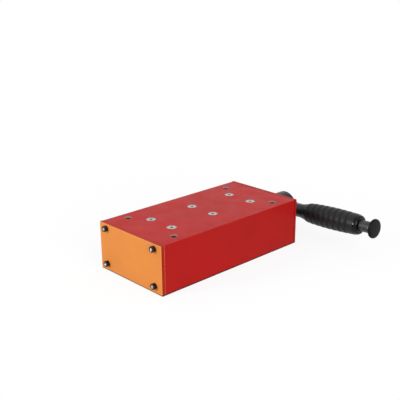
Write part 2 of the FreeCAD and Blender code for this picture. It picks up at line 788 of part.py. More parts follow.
def all_pieces():
    """Every separate piece by name, at rest."""
    head = plate_screw_head_radius
    plate_screw = cap_head_screw(plate_screw_radius, plate_screw_length, head, plate_screw_socket)
    shoe_screw = countersunk_screw(shoe_screw_radius, shoe_screw_length, screw_drop)
    flange_screw = countersunk_screw(flange_screw_radius, flange_screw_length, screw_drop)
    front_places = plate_screw_places(-plate_face)
    rear_places = plate_screw_places(plate_face)
    pieces = {
        "yoke_housing": yoke_housing(),
        "front_plate": end_plate(-housing_end, -plate_face),
        "rear_plate": rear_plate(),
        "front_plate_screws": screw_group(plate_screw, front_places, vector(0, -1, 0)),
        "rear_plate_screws": screw_group(plate_screw, rear_places, vector(0, 1, 0)),
        "pole_shoe_left": pole_shoe(-1),
        "pole_shoe_right": pole_shoe(1),
        "pole_separator": pole_separator(),
        "top_insulator": top_insulator(),
        "fixed_magnets_left": fixed_magnets(-1),
        "fixed_magnets_right": fixed_magnets(1),
        "filler_strips": filler_strips(),
        "pole_shoe_screws": screw_group(shoe_screw, shoe_screw_places(), vector(0, 0, 1)),
        "front_bearing_carrier": bearing_carrier(-1),
        "rear_bearing_carrier": bearing_carrier(1),
        "front_bush": bush(-1),
        "rear_bush": bush(1),
        "thrust_washers": thrust_washers(),
        "shaft_seal": shaft_seal(),
        "index_flange": index_flange(),
        "index_flange_screws": screw_group(flange_screw, flange_screw_places(), vector(0, 1, 0)),
        "stop_pin": stop_pin(),
        "rotor_segments": rotor_segments(),
        "rotor_magnets": rotor_magnets(),
        "rotor_spacers": rotor_spacers(),
        "rotor_cap_screws": cap_screws(),
        "front_rotor_cap": front_rotor_cap(),
        "drive_shaft": drive_shaft(),
    }
    on_the_hub = {
        "shaft_key": key_shape(),
        "lever_hub": lever_hub(),
        "hub_washer": hub_washer(),
        "hub_screw": hub_screw(),
        "lever_tube": lever_tube(),
        "grip": grip(),
        "grip_collar": grip_collar(),
        "lock_pin": lock_pin(),
        "plunger_rod": plunger_rod(),
        "detent_ring": detent_ring(),
        "plunger_knob": plunger_knob(),
    }
    for name, shape in on_the_hub.items():
        pieces[name] = to_rest_angle(shape)
    return pieces


os.makedirs("parts", exist_ok=True)
for name, shape in all_pieces().items():
    shape.exportStep("parts/" + name + ".step")
    box = shape.BoundBox
    print(name, shape.isValid(), len(shape.Solids), round(shape.Volume, 1),
          [round(v, 2) for v in (box.XMin, box.XMax, box.YMin, box.YMax, box.ZMin, box.ZMax)])
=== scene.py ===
import json
import math

import bmesh
import bpy
import numpy as np
from mathutils import Matrix, Vector


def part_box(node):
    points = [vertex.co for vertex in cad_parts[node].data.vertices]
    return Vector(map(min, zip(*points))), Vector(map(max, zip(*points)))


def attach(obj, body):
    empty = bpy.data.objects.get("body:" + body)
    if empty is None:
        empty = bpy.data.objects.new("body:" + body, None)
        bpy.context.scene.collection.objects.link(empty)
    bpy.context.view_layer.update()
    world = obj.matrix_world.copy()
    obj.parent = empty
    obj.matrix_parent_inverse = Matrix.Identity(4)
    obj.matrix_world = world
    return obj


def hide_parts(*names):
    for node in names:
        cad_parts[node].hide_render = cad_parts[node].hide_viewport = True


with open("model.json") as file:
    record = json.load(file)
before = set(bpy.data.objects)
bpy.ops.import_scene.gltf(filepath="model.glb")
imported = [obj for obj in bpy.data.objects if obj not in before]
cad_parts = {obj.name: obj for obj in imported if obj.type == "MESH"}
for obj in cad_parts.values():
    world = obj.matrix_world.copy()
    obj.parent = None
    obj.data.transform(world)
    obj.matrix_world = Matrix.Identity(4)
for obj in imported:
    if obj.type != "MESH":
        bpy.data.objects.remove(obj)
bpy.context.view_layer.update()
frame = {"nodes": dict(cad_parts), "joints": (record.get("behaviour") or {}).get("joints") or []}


# Studio: white paper that carries the object's faint soft shadow and fades to
# pure white, a tall strip lamp, a large soft lamp and a pale sky. The paper
# casts back less light than it shows. The camera has the photograph's view.
photo_pixels = 400
focal_length_pixels = 718.65
sensor_width_mm = 36.0
camera_place = Vector((0.58638, -0.55243, 0.34358))
camera_azimuth = math.radians(46.884)
camera_elevation = math.radians(18.739)
camera_roll = math.radians(-0.520)
floor_half_width = 4.0
lit_place = Vector((0, 0, 0.03))
shadow_fade_start = 0.12
shadow_fade_end = 0.45
whiteness_at_object = 0.86
sky_strength = 0.70


def add(material, kind, inputs=None, **settings):
    """Adds a shader node with its settings. Each input is a plain value, an output to link, or
    another node, whose first output in use is linked."""
    node = material.node_tree.nodes.new("ShaderNode" + kind)
    for name, value in settings.items():
        setattr(node, name, value)
    for name, value in (inputs or {}).items():
        if isinstance(value, bpy.types.Node):
            value = next(output for output in value.outputs if output.enabled)
        if isinstance(value, bpy.types.NodeSocket):
            material.node_tree.links.new(value, node.inputs[name])
        else:
            node.inputs[name].default_value = value
    return node


def linear(hex_colour):
    """An sRGB colour written as hex, turned to the linear values that shaders take."""
    channels = [int(hex_colour[i:i + 2], 16) / 255 for i in (1, 3, 5)]
    return [c / 12.92 if c <= 0.04045 else ((c + 0.055) / 1.055) ** 2.4 for c in channels] + [1.0]


def grid_mesh(name, points, closed_rows=False, closed_columns=False):
    """A mesh over a grid of points (rows, columns, 3), with a face between each four neighbours.
    Rows or columns may close on themselves."""
    rows, columns = points.shape[:2]
    index = np.arange(rows * columns).reshape(rows, columns)
    if closed_rows:
        index = np.vstack([index, index[:1]])
    if closed_columns:
        index = np.hstack([index, index[:, :1]])
    faces = np.stack([index[:-1, :-1], index[:-1, 1:], index[1:, 1:], index[1:, :-1]], axis=-1)
    mesh = bpy.data.meshes.new(name)
    mesh.from_pydata(points.reshape(-1, 3).tolist(), [], faces.reshape(-1, 4).tolist())
    return mesh


def in_scene(name, data):
    """An object of the mesh, lamp or camera, in the scene's collection."""
    thing = bpy.data.objects.new(name, data)
    bpy.context.scene.collection.objects.link(thing)
    return thing


def seen_directly(material):
    """1 for rays that show a surface itself: the camera's, and those of metal and glass."""
    rays = add(material, "LightPath").outputs
    shown = add(material, "Math", {0: rays["Is Camera Ray"], 1: rays["Is Glossy Ray"]}, operation="MAXIMUM")
    return add(material, "Math", {0: shown, 1: rays["Is Transmission Ray"]}, operation="MAXIMUM")


white_paper = bpy.data.materials.new("white_paper")
white_paper.use_nodes = True
white_paper.node_tree.nodes.clear()
place = add(white_paper, "TexCoord").outputs["Object"]
reach = add(white_paper, "VectorMath", {0: place}, operation="LENGTH")
whiteness = add(white_paper, "MapRange", {
    "Value": reach, "From Min": shadow_fade_start, "From Max": shadow_fade_end,
    "To Min": whiteness_at_object, "To Max": 1.0})
glow = add(white_paper, "Math", {0: seen_directly(white_paper), 1: whiteness}, operation="MULTIPLY")
shade = add(white_paper, "Mix", {
    "Factor": seen_directly(white_paper), "A": linear("#8C8C8C"), "B": linear("#FAFAFA")}, data_type="RGBA")
paper = add(white_paper, "BsdfDiffuse", {"Color": shade})
white = add(white_paper, "Emission", {"Color": linear("#FFFFFF"), "Strength": 1.0})
either = add(white_paper, "MixShader", {0: glow, 1: paper, 2: white})
add(white_paper, "OutputMaterial", {"Surface": either})

corners = np.zeros((2, 2, 3))
corners[..., 0] = [[-floor_half_width, floor_half_width]] * 2
corners[..., 1] = [[-floor_half_width] * 2, [floor_half_width] * 2]
floor = in_scene("floor", grid_mesh("floor", corners))
floor.data.materials.append(white_paper)

sky = bpy.data.worlds.new("studio_sky")
bpy.context.scene.world = sky
sky.use_nodes = True
sky.node_tree.nodes.clear()
pale_light = add(sky, "Background", {"Color": linear("#FFFFFF"), "Strength": sky_strength})
plain_white = add(sky, "Background", {"Color": linear("#FFFFFF"), "Strength": 1.0})
either = add(sky, "MixShader", {0: seen_directly(sky), 1: pale_light, 2: plain_white})
add(sky, "OutputWorld", {"Surface": either})


def soft_lamp(name, place, width, height, power):
    """An upright soft box that looks at the middle of the object."""
    lamp = bpy.data.lights.new(name, "AREA")
    lamp.shape = "RECTANGLE"
    lamp.size = width
    lamp.size_y = height
    lamp.energy = power
    holder = in_scene(name, lamp)
    holder.location = place
    holder.rotation_euler = (lit_place - Vector(place)).to_track_quat("-Z", "Y").to_euler()


soft_lamp("left_lamp", (-0.48, -1.28, 0.45), 0.15, 0.9, 11.0)
soft_lamp("right_lamp", (1.60, -0.35, 0.60), 0.9, 0.9, 16.0)

lens = bpy.data.cameras.new("camera")
lens.sensor_width = sensor_width_mm
lens.lens = focal_length_pixels / photo_pixels * sensor_width_mm
camera = in_scene("camera", lens)
back = Vector((math.sin(camera_azimuth) * math.cos(camera_elevation),
               -math.cos(camera_azimuth) * math.cos(camera_elevation), math.sin(camera_elevation)))
level = Vector((math.cos(camera_azimuth), math.sin(camera_azimuth), 0))
upright = back.cross(level)
right = math.cos(camera_roll) * level + math.sin(camera_roll) * upright
up = -math.sin(camera_roll) * level + math.cos(camera_roll) * upright
camera.matrix_world = Matrix.Translation(camera_place) @ Matrix((right, up, back)).transposed().to_4x4()
bpy.context.scene.camera = camera
bpy.context.scene.view_settings.view_transform = "Standard"


# Housing: a steel channel, sprayed with red enamel and baked, which leaves a
# soft gloss and faint orange peel. Its front upright edges carry a pale
# painted highlight. The holes in its top are bare steel.
housing_low, housing_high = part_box("yoke_housing")
enamel_red = "#B21A17"
# Pale red of the painted edge highlight, and dark red of the painted contact shadow along the foot.
edge_highlight_red = "#E2685E"
foot_shadow_red = "#4A100E"
painted_edge_mm = 1.1
foot_shadow_mm = 1.6
noise_low, noise_high = 0.3, 0.7    # nearly all of a noise's values lie between these
ragged_mm = 3.0
cloud_mm = 45.0
gloss_patch_mm = 20.0
orange_peel_mm = 1.3
mount_hole_mm = (40.0, 80.0)
mount_hole_mouth_mm = 4.3
shoe_screw_mm = (18.0, 64.0)
countersink_mouth_mm = 5.9
coat_depth = 0.00002


def new_finish(name):
    """An empty material, and the Object coordinates on it."""
    material = bpy.data.materials.new(name)
    material.use_nodes = True
    material.node_tree.nodes.clear()
    return material, add(material, "TexCoord").outputs["Object"]


def distance_to_edge(material, place, low, high):
    """Distance in metres along a box's face to its nearest edge. Of a point's depths below the
    three pairs of sides the least belongs to its own face, and the middle one is the answer:
    max(min(x, y), min(max(x, y), z))."""
    centred = add(material, "VectorMath", {0: place, 1: (low + high) / 2}, operation="SUBTRACT")
    folded = add(material, "VectorMath", {0: centred}, operation="ABSOLUTE")
    depth = add(material, "VectorMath", {0: (high - low) / 2, 1: folded}, operation="SUBTRACT")
    x, y, z = add(material, "SeparateXYZ", {0: depth}).outputs
    lesser = add(material, "Math", {0: x, 1: y}, operation="MINIMUM")
    greater = add(material, "Math", {0: x, 1: y}, operation="MAXIMUM")
    inner = add(material, "Math", {0: greater, 1: z}, operation="MINIMUM")
    return add(material, "Math", {0: lesser, 1: inner}, operation="MAXIMUM")


def enamel_colour(material, place, low, high, body_hex, painted_edge_hex, foot_shadow_hex, edge_light_box=None):
    """Enamel on a box-shaped piece: clouded by a few hundredths, and of another shade along the edges
    of the piece, or of another box, within a ragged width: a painted edge highlight where that shade
    is paler, painted shade where it is darker. It is dark in a line along the foot: a painted contact shadow."""
    cloud = add(material, "TexNoise", {"Vector": place, "Scale": 1000 / cloud_mm, "Detail": 3.0})
    shade = add(material, "MapRange", {
        "Value": cloud, "From Min": noise_low, "From Max": noise_high, "To Min": 0.94, "To Max": 1.05})
    body = add(material, "VectorMath", {0: linear(body_hex)[:3], "Scale": shade}, operation="SCALE")
    ragged = add(material, "TexNoise", {"Vector": place, "Scale": 1000 / ragged_mm, "Detail": 4.0})
    width = add(material, "MapRange", {
        "Value": ragged, "From Min": noise_low, "From Max": noise_high,
        "To Min": 0.35 * painted_edge_mm / 1000, "To Max": painted_edge_mm / 1000})
    from_edge = distance_to_edge(material, place, *(edge_light_box or (low, high)))
    ratio = add(material, "Math", {0: from_edge, 1: width}, operation="DIVIDE")
    painted_edge_share = add(material, "MapRange", {
        "Value": ratio, "From Min": 0.6, "From Max": 1.3, "To Min": 0.85, "To Max": 0.0})
    coat = add(material, "Mix", {"Factor": painted_edge_share, "A": body, "B": linear(painted_edge_hex)}, data_type="RGBA")
    height = add(material, "SeparateXYZ", {0: place}).outputs["Z"]
    # A dark painted contact shadow in a line along the foot.
    foot = add(material, "MapRange", {
        "Value": height, "From Min": low.z + 0.6 * foot_shadow_mm / 1000,
        "From Max": low.z + foot_shadow_mm / 1000, "To Min": 1.0, "To Max": 0.0})
    return add(material, "Mix", {"Factor": foot, "A": coat, "B": linear(foot_shadow_hex)}, data_type="RGBA")


def bake(material, place, colour, bare=0.0):
    """Ends an enamel with a soft gloss that changes a little from patch to patch, the ripple of
    orange peel, and bare metal where bare is 1."""
    patch = add(material, "TexNoise", {"Vector": place, "Scale": 1000 / gloss_patch_mm, "Detail": 5.0})
    roughness = add(material, "MapRange", {
        "Value": patch, "From Min": noise_low, "From Max": noise_high, "To Min": 0.36, "To Max": 0.48})
    peel = add(material, "TexNoise", {"Vector": place, "Scale": 1000 / orange_peel_mm, "Detail": 1.5})
    relief = add(material, "Bump", {"Strength": 0.14, "Distance": 0.00012, "Height": peel})
    shader = add(material, "BsdfPrincipled", {
        "Base Color": colour, "Metallic": bare, "Roughness": roughness, "Specular IOR Level": 0.1,
        "Normal": relief})
    add(material, "OutputMaterial", {"Surface": shader})


baked_red_enamel, place = new_finish("baked_red_enamel")
# A box that shares only its front upright edges with the housing, so the painted edge highlight lies only
# there.
upwards = Vector((0, 0, housing_high.z))
backwards = Vector((0, housing_high.y, 0))
front_edges_only = (housing_low - upwards, housing_high + upwards + backwards)
red = enamel_colour(baked_red_enamel, place, housing_low, housing_high, enamel_red, edge_highlight_red, foot_shadow_red,
                    front_edges_only)
in_plan = add(baked_red_enamel, "VectorMath", {0: place, 1: (1, 1, 0)}, operation="MULTIPLY")
mouths = [(i * mount_hole_mm[0], j * mount_hole_mm[1], mount_hole_mouth_mm)
          for i in (-1, 1) for j in (-1, 1)]
shoe_screw_spots = [(i * shoe_screw_mm[0], j * shoe_screw_mm[1]) for i in (-1, 1) for j in (-1, 0, 1)]
mouths += [(x, y, countersink_mouth_mm) for x, y in shoe_screw_spots]
in_a_hole = 0.0
for x, y, radius in mouths:
    away = add(baked_red_enamel, "VectorMath", {0: in_plan, 1: (x / 1000, y / 1000, 0)}, operation="DISTANCE")
    inside = add(baked_red_enamel, "Math", {0: away, 1: radius / 1000}, operation="LESS_THAN")
    in_a_hole = add(baked_red_enamel, "Math", {0: in_a_hole, 1: inside}, operation="MAXIMUM")
height = add(baked_red_enamel, "SeparateXYZ", {0: place}).outputs["Z"]
sunk = add(baked_red_enamel, "Math", {0: height, 1: housing_high.z - coat_depth}, operation="LESS_THAN")
bare = add(baked_red_enamel, "Math", {0: in_a_hole, 1: sunk}, operation="MULTIPLY")
red_or_steel = add(baked_red_enamel, "Mix", {
    "Factor": bare, "A": red, "B": linear("#8C8B88")}, data_type="RGBA")
bake(baked_red_enamel, place, red_or_steel, bare)
frame["nodes"]["yoke_housing"].material_slots[0].material = baked_red_enamel


# End plates: 4 mm steel, screwed to the housing and sprayed red with it. The
# front one's face is then masked and sprayed orange, so its edges stay a dark
# red that the orange has dusted.
front_low, front_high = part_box("front_plate")
rear_low, rear_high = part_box("rear_plate")
face_coat_depth = 0.0003

orange_face_enamel, place = new_finish("orange_face_enamel")
# Both coats turn paler along the plate's edges, a painted edge highlight, and dark along its foot, a painted
# contact shadow.
orange = enamel_colour(orange_face_enamel, place, front_low, front_high, "#E18B42", "#E89858", "#6A4426")
dusted = enamel_colour(orange_face_enamel, place, front_low, front_high, "#A6260A", "#A82E12", "#4A1408")
depth = add(orange_face_enamel, "SeparateXYZ", {0: place}).outputs["Y"]
behind_face = add(orange_face_enamel, "Math", {
    0: depth, 1: front_low.y + face_coat_depth}, operation="GREATER_THAN")
bake(orange_face_enamel, place,
     add(orange_face_enamel, "Mix", {"Factor": behind_face, "A": orange, "B": dusted}, data_type="RGBA"))
frame["nodes"]["front_plate"].material_slots[0].material = orange_face_enamel

# Along the rear plate's edges a darker red is painted shade, and its foot has the dark painted contact
# shadow.
red_plate_enamel, place = new_finish("red_plate_enamel")
bake(red_plate_enamel, place,
     enamel_colour(red_plate_enamel, place, rear_low, rear_high, enamel_red, "#8A1C1A", foot_shadow_red))
frame["nodes"]["rear_plate"].material_slots[0].material = red_plate_enamel


# Plate screws: black socket cap screws, M4 x 16. The oxide is a thin glossy
# skin, near black, with a warm brown cast where the light strikes it.
plate_screw_mm = {"thread": 2.0, "head": 3.5, "height": 4.0, "socket": 3.0, "length": 16.0}
screws_low, screws_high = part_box("front_plate_screws")
socket_rows = (1, 2)


def black_oxide(name, dark_hex, pale_hex, patch_mm, roughness, metallic=0.5):
    """Black oxide over steel: patches between two near colours, duller where they are paler, and
    bright steel, for bare steel and a painted highlight, as far as attribute bare_and_highlight says."""
    material, place = new_finish(name)
    patch = add(material, "TexNoise", {"Vector": place, "Scale": 1000 / patch_mm, "Detail": 5.0})
    tone = add(material, "MapRange", {
        "Value": patch, "From Min": noise_low, "From Max": noise_high, "To Min": 0.0, "To Max": 1.0})
    colour = add(material, "Mix", {
        "Factor": tone, "A": linear(dark_hex), "B": linear(pale_hex)}, data_type="RGBA")
    dullness = add(material, "MapRange", {"Value": tone, "To Min": roughness[0], "To Max": roughness[1]})
    bright = add(material, "Attribute", attribute_name="bare_and_highlight").outputs["Fac"]
    colour = add(material, "Mix", {"Factor": bright, "A": colour, "B": linear("#F0ECE8")}, data_type="RGBA")
    metal = add(material, "MapRange", {"Value": bright, "To Min": metallic, "To Max": 1.0})
    shader = add(material, "BsdfPrincipled", {
        "Base Color": colour, "Metallic": metal, "Roughness": dullness, "Specular IOR Level": 0.25})
    add(material, "OutputMaterial", {"Surface": shader})
    return material


def soft_corners(outline, radius, steps=6):
    """An outline of (along, out) points whose inner corners are replaced by quadratic curves:
    (1-t)^2 start + 2t(1-t) corner + t^2 end, with start and end one radius from the corner,
    or less where a run is short."""
    points = np.array(outline, float)
    parts = [points[:1]]
    share = np.linspace(0, 1, steps)[:, None]
    for before, corner, after in zip(points, points[1:], points[2:]):
        arrive, leave = corner - before, after - corner
        reach = min(radius, 0.45 * np.linalg.norm(arrive), 0.45 * np.linalg.norm(leave))
        start = corner - arrive / np.linalg.norm(arrive) * reach
        end = corner + leave / np.linalg.norm(leave) * reach
        parts.append((1 - share) ** 2 * start + 2 * share * (1 - share) * corner + share ** 2 * end)
    return np.vstack(parts + [points[-1:]])


def turned(along, out, origin, axis, side, columns):
    """Points origin + along * axis + out * (cos a * side + sin a * (axis x side)) for a in equal
    steps once round. along is one number for each row, and out may also change with a."""
    axis = Vector(axis).normalized()
    side = (Vector(side) - Vector(side).dot(axis) * axis).normalized()
    angle = np.linspace(0, 2 * math.pi, columns, endpoint=False)[:, None]
    ring = np.cos(angle) * np.array(side) + np.sin(angle) * np.array(axis.cross(side))
    centres = np.array(origin) + np.asarray(along)[:, None] * np.array(axis)
    out = np.broadcast_to(np.reshape(out, (len(along), -1)), (len(along), columns))
    return centres[:, None, :] + out[..., None] * ring[None]


def dressed(name, node, body, material, meshes, sharp_degrees=35.0, join_flats=False):
    """One piece of one or more meshes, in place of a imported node: doubled points are merged,
    faces turned outwards, and shading is smooth up to an angle."""
    work = bmesh.new()
    for mesh in meshes:
        work.from_mesh(mesh)
        bpy.data.meshes.remove(mesh)
    bmesh.ops.remove_doubles(work, verts=work.verts, dist=2e-6)
    bmesh.ops.dissolve_degenerate(work, edges=work.edges, dist=1e-7)
    if join_flats:
        bmesh.ops.dissolve_limit(work, angle_limit=math.radians(0.5), verts=work.verts, edges=work.edges)
    bmesh.ops.recalc_face_normals(work, faces=work.faces)
    whole = bpy.data.meshes.new(name)
    work.to_mesh(whole)
    work.free()
    whole.shade_smooth()
    whole.set_sharp_from_angle(angle=math.radians(sharp_degrees))
    whole.materials.append(material)
    piece = in_scene(name, whole)
    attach(piece, body)
    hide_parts(node)
    return piece


def socket_screws(name, node, body, material, outline_mm, flat_rows, places, axis):
    """Screws with a six-sided socket, turned from one outline of (along, out) points. In the
    flat rows out is the distance to the six flats, so it is divided by cos(a mod 60 - 30
    degrees). Each screw is turned by its own amount, as when it is driven home, and its
    socket is painted bright steel: a painted highlight."""
    columns = 60
    angle = np.linspace(0, 2 * math.pi, columns, endpoint=False)
    along, out = np.array(outline_mm, float).T / 1000
    out = np.repeat(out[:, None], columns, axis=1)
    out[list(flat_rows)] /= np.cos(np.mod(angle, math.pi / 3) - math.pi / 6)
    meshes = []
    # The socket rows are painted bright: a painted highlight.
    in_socket = np.repeat(np.arange(len(along)) <= max(flat_rows), columns)
    for count, place in enumerate(places):
        side = Matrix.Rotation(0.5 + 0.83 * count, 3, Vector(axis)) @ Vector(axis).orthogonal()
        mesh = grid_mesh(name, turned(along, out, place, axis, side, columns), closed_columns=True)
        painted_light_mask = mesh.attributes.new("bare_and_highlight", "FLOAT", "POINT")
        painted_light_mask.data.foreach_set("value", in_socket.astype(float))
        meshes.append(mesh)
    return dressed(name, node, body, material, meshes, 30.0)


def cap_screw_outline(sizes):
    """A cap screw from the middle of its socket over its rounded head down to its tip."""
    thread, head, height, flat = sizes["thread"], sizes["head"], sizes["height"], sizes["socket"] / 2
    bottom = height - thread
    head_rim = soft_corners([(height, flat + 0.3), (height, head), (0, head)], 0.4, 6)
    return np.vstack([[(bottom - 0.5, 0), (bottom, flat), (height - 0.15, flat)], head_rim,
                      [(0, thread), (0.2 * thread - sizes["length"], thread),
                       (-sizes["length"], 0.8 * thread), (-sizes["length"], 0)]])


screw_oxide = black_oxide("black_oxide_screws", "#150D0B", "#33211C", 1.2, (0.16, 0.34), 0.35)
head = plate_screw_mm["head"] / 1000
screw_spots = [(x, z) for x in (screws_low.x + head, screws_high.x - head)
               for z in (screws_low.z + head, screws_high.z - head)]
socket_screws("front_plate_cap_screws", "front_plate_screws", "base", screw_oxide,
              cap_screw_outline(plate_screw_mm), socket_rows,
              [(x, front_low.y, z) for x, z in screw_spots], (0, -1, 0))
socket_screws("rear_plate_cap_screws", "rear_plate_screws", "base", screw_oxide,
              cap_screw_outline(plate_screw_mm), socket_rows,
              [(x, rear_high.y, z) for x, z in screw_spots], (0, 1, 0))


# Pole shoes: mild steel blocks, surface ground together with the brass
# strips between them once the base is assembled, so that fine scratches run
# along the whole underside. The scratches are drawn coarser than real ones.
scratch_mm = 0.35
scratch_length = 60.0
metal_cloud_mm = 30.0


def cut_metal(name, dark_hex, pale_hex, direction, line_mm, roughness):
    """Ground, milled or turned metal: noise drawn out along one axis makes the tool's marks,
    which with a broad cloud change colour and roughness a little and stand in low relief."""
    material, place = new_finish(name)
    stretch = [1000 / line_mm] * 3
    stretch["XYZ".index(direction)] /= scratch_length
    drawn = add(material, "VectorMath", {0: place, 1: stretch}, operation="MULTIPLY")
    marks = add(material, "TexNoise", {"Vector": drawn, "Scale": 1.0, "Detail": 4.0})
    cloud = add(material, "TexNoise", {"Vector": place, "Scale": 1000 / metal_cloud_mm, "Detail": 3.0})
    both = add(material, "Mix", {"Factor": 0.4, "A": marks.outputs[0], "B": cloud.outputs[0]})
    tone = add(material, "MapRange", {
        "Value": both, "From Min": 0.35, "From Max": 0.65, "To Min": 0.0, "To Max": 1.0})
    colour = add(material, "Mix", {
        "Factor": tone, "A": linear(dark_hex), "B": linear(pale_hex)}, data_type="RGBA")
    dullness = add(material, "MapRange", {"Value": tone, "To Min": roughness[0], "To Max": roughness[1]})
    relief = add(material, "Bump", {"Strength": 0.12, "Distance": 0.00002, "Height": marks.outputs[0]})
    shader = add(material, "BsdfPrincipled", {
        "Base Color": colour, "Metallic": 1.0, "Roughness": dullness, "Normal": relief})
    add(material, "OutputMaterial", {"Surface": shader})
    return material


ground_steel = cut_metal("surface_ground_steel", "#8F908F", "#B9BAB9", "Y", scratch_mm, (0.18, 0.36))
ground_brass = cut_metal("surface_ground_brass", "#A98A4A", "#CDB06C", "Y", scratch_mm, (0.2, 0.36))
for node in ("pole_shoe_left", "pole_shoe_right"):
    frame["nodes"][node].material_slots[0].material = ground_steel
for node in ("pole_separator", "filler_strips", "rotor_spacers"):
    frame["nodes"][node].material_slots[0].material = ground_brass


# Shoe screws: bright stainless countersunk screws, M6 x 30, that draw the
# shoes up against the roof of the housing. They end a little below its face.
shoe_screw_thread_mm = 3.0
shoe_screw_length_mm = 30.0
flat_screw_drop_mm = 0.3


def flat_screw_outline(thread, length):
    """A countersunk screw from the middle of its socket over its flat top and down its cone of
    90 degrees to the tip. Its top lies below the face by the drop."""
    drop, head, flat = flat_screw_drop_mm, 1.9 * thread, 0.55 * thread
    bottom = drop + 0.7 * thread
    return [(-bottom - 0.3, 0), (-bottom, flat), (-drop - 0.1, flat), (-drop, flat + 0.2),
            (-drop, head - 0.1), (-drop - 0.1, head), (-drop - head + thread, thread),
            (-length, thread), (-length, 0)]


turned_stainless = cut_metal("turned_stainless", "#A2A29F", "#C6C5C0", "Z", 0.8, (0.22, 0.38))
socket_screws("pole_shoe_flat_screws", "pole_shoe_screws", "base", turned_stainless,
              flat_screw_outline(shoe_screw_thread_mm, shoe_screw_length_mm), socket_rows,
              [(x / 1000, y / 1000, housing_high.z) for x, y in shoe_screw_spots], (0, 0, 1))


# Bearing carriers and roof sheet: milled aluminium, which keeps the field in
# the shoes. Magnets: sintered blocks with a soft bright nickel plate.
milled_aluminium = cut_metal("milled_aluminium", "#A7A9AB", "#C6C8CA", "X", 0.8, (0.28, 0.42))
for node in ("front_bearing_carrier", "rear_bearing_carrier", "top_insulator"):
    frame["nodes"][node].material_slots[0].material = milled_aluminium
nickel_plate = cut_metal("nickel_plate", "#A8A498", "#C4C0B4", "Z", 1.5, (0.2, 0.3))
for node in ("fixed_magnets_left", "fixed_magnets_right", "rotor_magnets"):
    frame["nodes"][node].material_slots[0].material = nickel_plate


# Bearings: sintered bronze bushes and thrust washers soaked in oil, and a
# black nitrile seal round the shaft. The plunger's ring is the same rubber.
grain_mm = 0.5
sintered_bronze = cut_metal("sintered_bronze", "#7E5A34", "#A67B48", "Y", grain_mm, (0.35, 0.5))
for node in ("front_bush", "rear_bush", "thrust_washers"):
    frame["nodes"][node].material_slots[0].material = sintered_bronze
moulded_nitrile, place = new_finish("moulded_nitrile")
grain = add(moulded_nitrile, "TexNoise", {"Vector": place, "Scale": 1000 / grain_mm, "Detail": 3.0})
black = add(moulded_nitrile, "Mix", {
    "Factor": grain.outputs[0], "A": linear("#141414"), "B": linear("#222222")}, data_type="RGBA")
shader = add(moulded_nitrile, "BsdfPrincipled", {"Base Color": black, "Roughness": 0.6})
add(moulded_nitrile, "OutputMaterial", {"Surface": shader})
for node in ("shaft_seal", "detent_ring"):
    frame["nodes"][node].material_slots[0].material = moulded_nitrile


# Rotor and shaft: turned steel with the fine rings that a lathe leaves. The
# caps and their screws are stainless, which the magnets don't hold.
turned_steel = cut_metal("turned_steel", "#77787A", "#9EA0A1", "X", 0.4, (0.2, 0.36))
for node in ("rotor_segments", "drive_shaft", "stop_pin", "shaft_key", "lock_pin"):
    frame["nodes"][node].material_slots[0].material = turned_steel
for node in ("front_rotor_cap", "rotor_cap_screws"):
    frame["nodes"][node].material_slots[0].material = turned_stainless


# Index flange: turned from bar and blackened, screwed through the rear plate.
# The two cross holes in its sleeve take the lock pin at the lever's two ends.
flange_screw_thread_mm = 2.0
flange_screw_length_mm = 16.0
flange_screw_circle = 0.0215
flange_screw_angle = math.radians(30)
flange_thickness = 0.006
flange_face_y = rear_high.y + flange_thickness
axis_z = frame["joints"][0]["pos_m"][2]


def machined(name, node, body, material, edge_mm):
    """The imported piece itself, with round faces shaded smooth and sharp edges broken by a small
    bevel, as a deburring tool leaves them."""
    piece = dressed(name, node, body, material, [frame["nodes"][node].data.copy()], 28.0, True)
    broken_edge = piece.modifiers.new("broken_edge", "BEVEL")
    broken_edge.width = edge_mm / 1000
    broken_edge.segments = 2
    broken_edge.angle_limit = math.radians(28)
    broken_edge.harden_normals = True


flange_oxide = black_oxide("black_oxide_flange", "#242322", "#403D3A", 6.0, (0.26, 0.42))
machined("index_flange_turned", "index_flange", "base", flange_oxide, 0.25)
across = flange_screw_circle * math.cos(flange_screw_angle)
above = flange_screw_circle * math.sin(flange_screw_angle)
socket_screws("index_flange_flat_screws", "index_flange_screws", "base", screw_oxide,
              flat_screw_outline(flange_screw_thread_mm, flange_screw_length_mm), socket_rows,
              [(i * across, flange_face_y, axis_z + j * above) for i in (-1, 1) for j in (-1, 1)], (0, 1, 0))


# Hub: a machined steel cup over the index sleeve, keyed to the shaft and held
# by one screw and washer, blackened like the lever that it carries.
hub_screw_mm = {"thread": 3.0, "head": 5.0, "height": 6.0, "socket": 5.0, "length": 16.0}
hub_oxide = black_oxide("black_oxide_hub", "#1E1E1F", "#343435", 8.0, (0.3, 0.44))
machined("lever_hub_machined", "lever_hub", "lever", hub_oxide, 0.25)
machined("hub_washer_stamped", "hub_washer", "lever", turned_steel, 0.2)
washer_face_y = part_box("hub_washer")[1].y
socket_screws("hub_cap_screw", "hub_screw", "lever", screw_oxide,
              cap_screw_outline(hub_screw_mm), socket_rows, [(0, washer_face_y, axis_z)], (0, 1, 0))


# Lever tube: drawn steel bar, bored from its outer end for the plunger and
# blackened. It shows between the body and the grip.
tube_radius = 8.9
lever_columns = 120
tube_outline_mm = [(14.2, 3.05), (14.2, tube_radius), (122.0, tube_radius), (122.0, 7.95), (112.0, 7.95),
                   (112.0, 7.4), (97.1, 7.4), (97.1, 3.4), (26.2, 3.4), (26.2, 3.05), (14.2, 3.05)]
lever_origin = Vector(frame["joints"][0]["pos_m"])
lever_axis = Vector(frame["joints"][1]["axis"])
lever_side = Vector((0, 1, 0))


